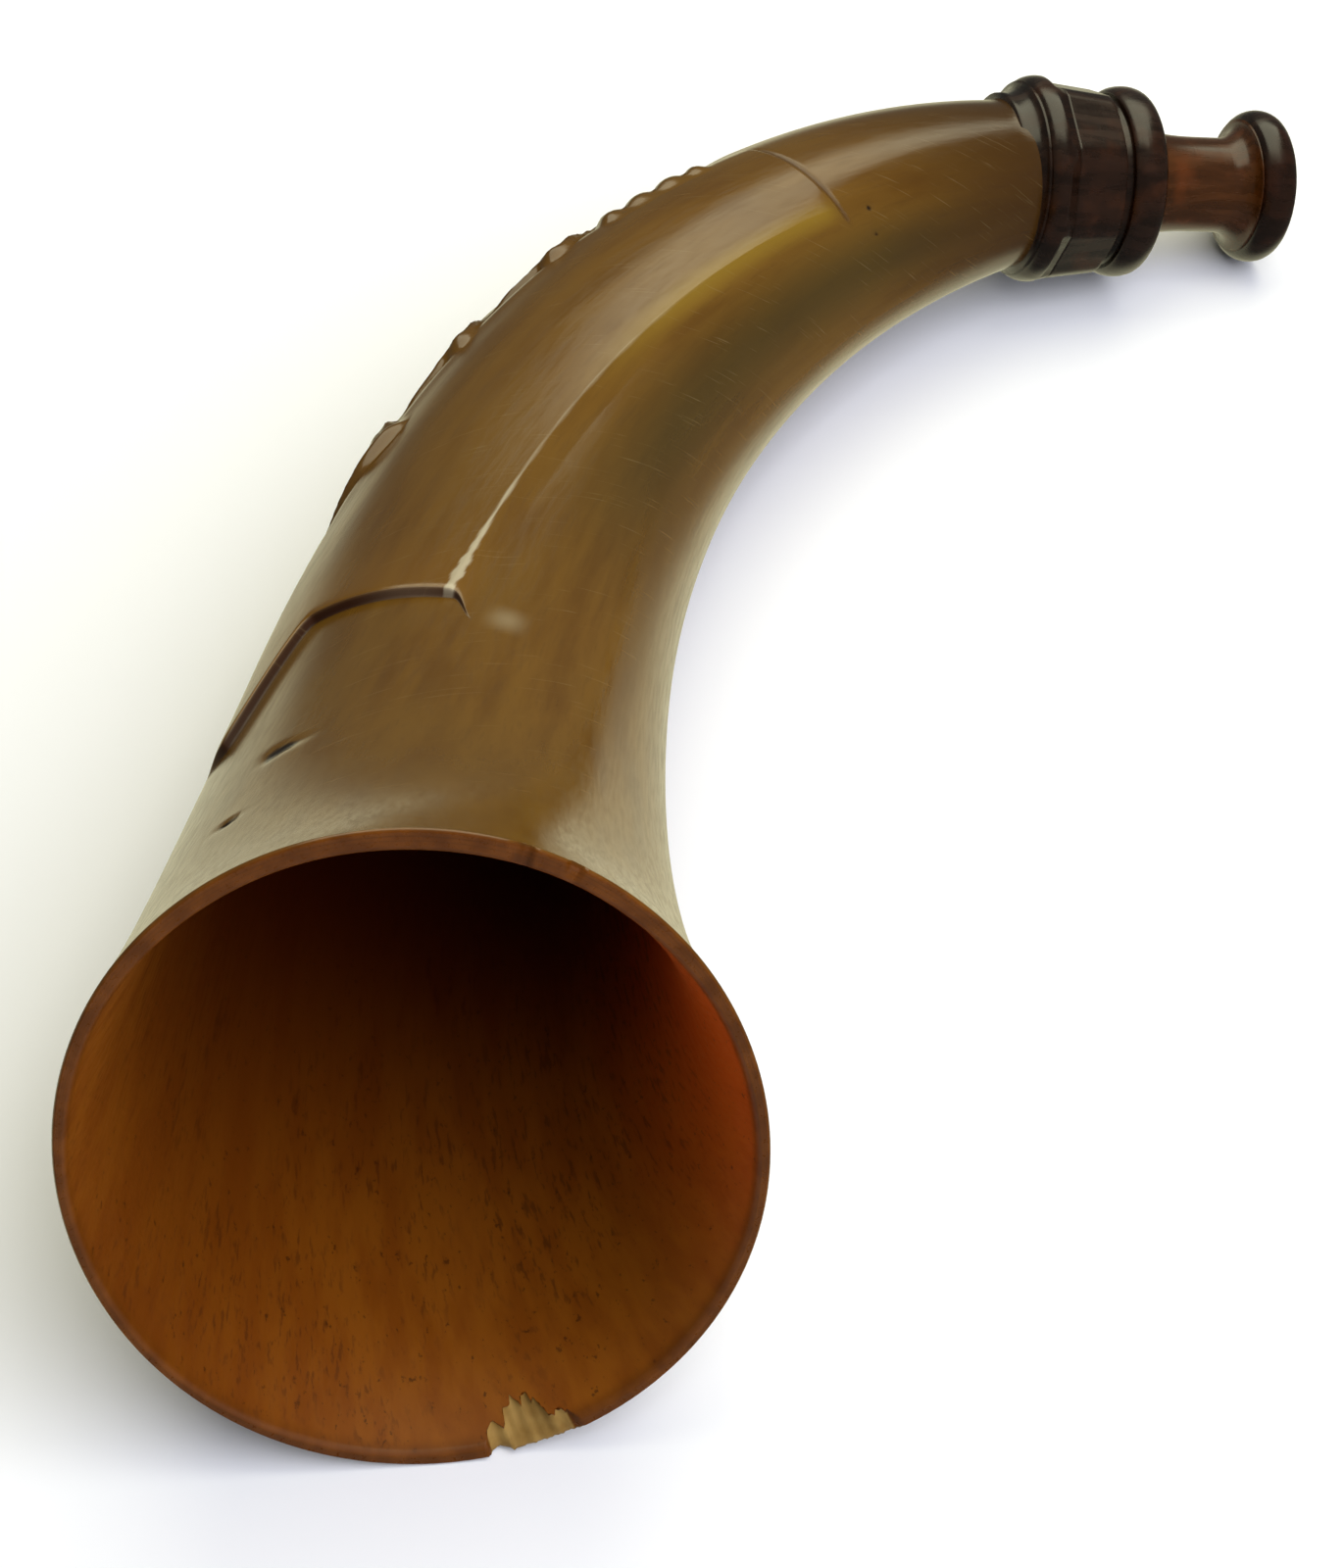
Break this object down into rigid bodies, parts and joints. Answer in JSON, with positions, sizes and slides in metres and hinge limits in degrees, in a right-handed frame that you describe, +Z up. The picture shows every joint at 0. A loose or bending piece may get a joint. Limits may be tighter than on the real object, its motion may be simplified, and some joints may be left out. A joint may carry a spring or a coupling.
{
  "type": "shofar",
  "caption": "Curved natural-horn trumpet with a flared oval mouth, a raised, carved field along its outer side and a faceted, turned mouthpiece.",
  "frame": {"origin": "on the table plane, under the middle of the horn's bounding box", "axes": "+Z up; the open mouth faces -Y and slightly up; the horn runs back along +Y and its tip curls towards +X"},
  "size_m": [0.1834, 0.2247, 0.0803],
  "materials": {
    "horn": "polished olive and amber brown horn, pale where thin",
    "horn_carved": "scraped and polished brown horn",
    "horn_upper": "polished brown horn",
    "horn_relief": "carved brown horn",
    "mouthpiece_dark": "dark brown polished horn",
    "mouthpiece_red": "reddish brown polished horn"
  },
  "bodies": {
    "root": {"bell": "horn", "carved_barrel": "horn_carved", "upper_horn": "horn_upper", "relief_carving": "horn_relief", "collar": "mouthpiece_dark", "octagon_band": "mouthpiece_dark", "ring": "mouthpiece_dark", "stem": "mouthpiece_red", "mouth_rim": "mouthpiece_red"}
  },
  "joints": []
}
